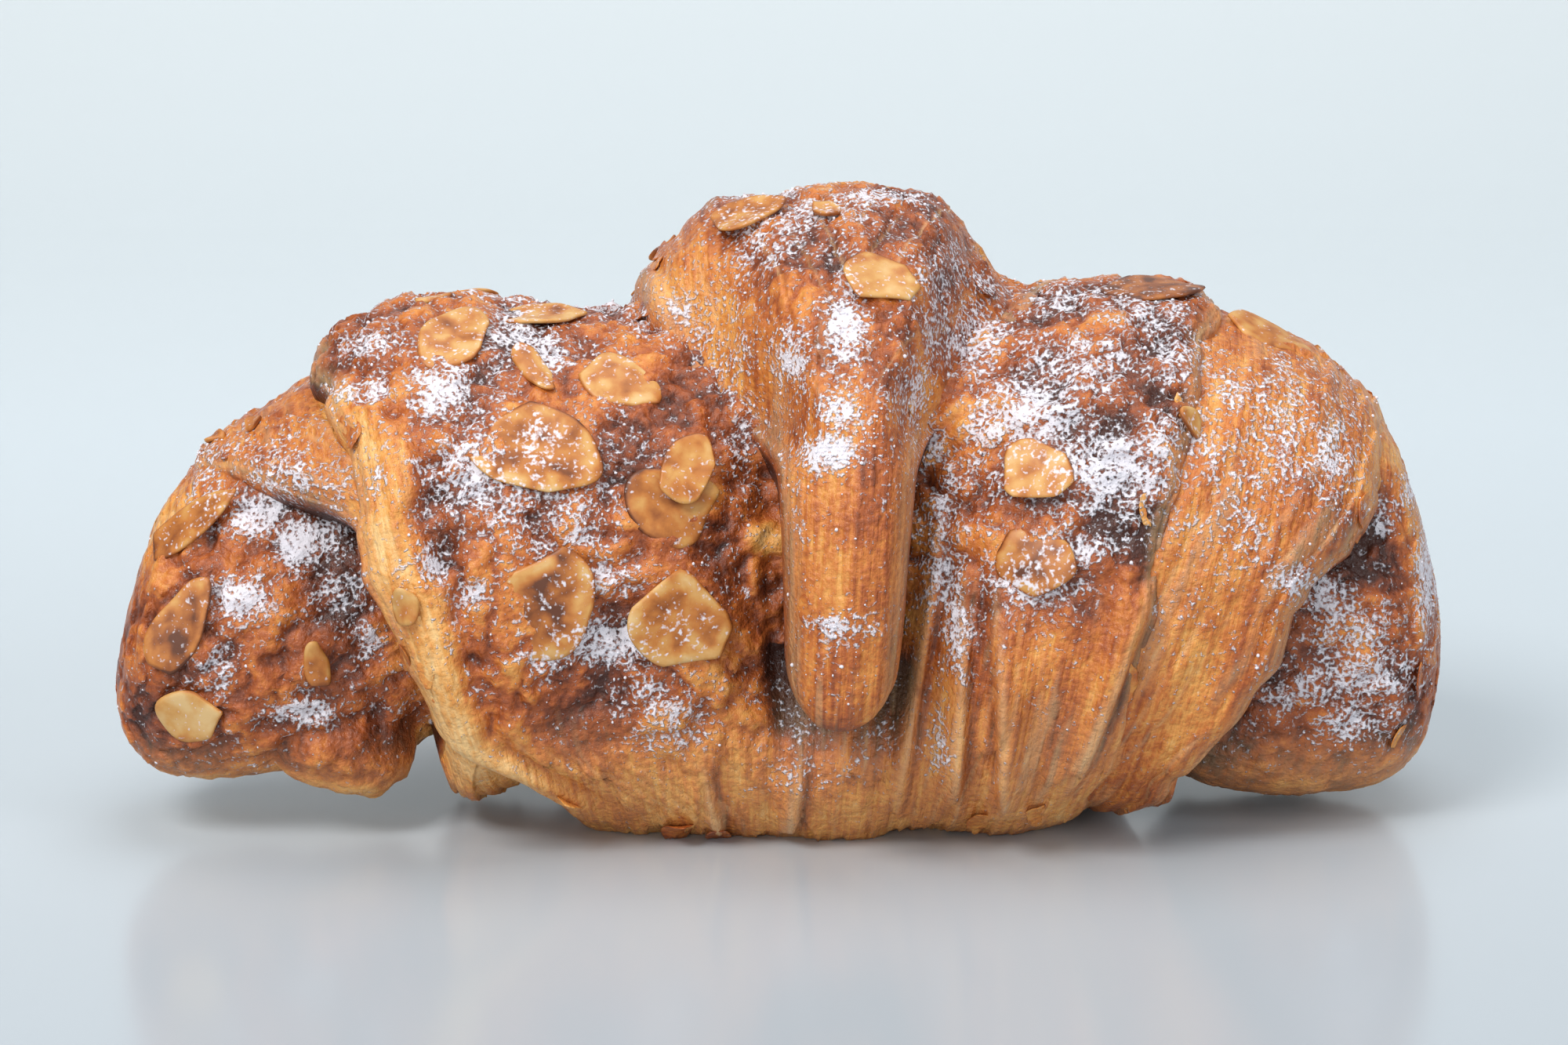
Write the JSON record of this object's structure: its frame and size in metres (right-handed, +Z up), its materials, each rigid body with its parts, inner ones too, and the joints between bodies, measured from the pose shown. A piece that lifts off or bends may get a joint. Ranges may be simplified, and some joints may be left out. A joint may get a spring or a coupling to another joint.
{
  "type": "almond croissant",
  "caption": "Almond croissant rolled from a dough triangle, its pointed tongue lying down the front, with stepped lobes, blunt tips and flaked almonds baked onto the crust.",
  "frame": {"origin": "on the resting surface, under the middle of the bounding box", "axes": "+X along the roll towards the right tip, +Z up; the tongue faces -Y"},
  "size_m": [0.1678, 0.0864, 0.0805],
  "materials": {
    "crust": "baked pastry crust, golden to dark brown, slightly glossy, dusted with icing sugar",
    "almond": "toasted flaked almond, pale cream with browned rims"
  },
  "bodies": {
    "root": {"croissant": "crust", "almond_slice_front_01": "almond", "almond_slice_front_02": "almond", "almond_slice_front_03": "almond", "almond_slice_front_04": "almond", "almond_slice_front_05": "almond", "almond_slice_front_06": "almond", "almond_slice_front_07": "almond", "almond_slice_front_08": "almond", "almond_slice_front_09": "almond", "almond_slice_front_10": "almond", "almond_slice_front_11": "almond", "almond_slice_front_12": "almond", "almond_slice_front_13": "almond", "almond_slice_front_14": "almond", "almond_slice_front_15": "almond", "almond_slice_front_16": "almond", "almond_slice_front_17": "almond", "almond_slice_front_18": "almond", "almond_slice_back_01": "almond", "almond_slice_back_02": "almond", "almond_slice_back_03": "almond", "almond_slice_back_04": "almond", "almond_slice_back_05": "almond", "almond_slice_back_06": "almond", "almond_slice_back_07": "almond", "almond_slice_back_08": "almond", "almond_slice_back_09": "almond", "almond_slice_back_10": "almond", "almond_slice_back_11": "almond", "almond_slice_back_12": "almond", "almond_slice_back_13": "almond", "almond_slice_back_14": "almond", "almond_slice_back_15": "almond"}
  },
  "joints": []
}
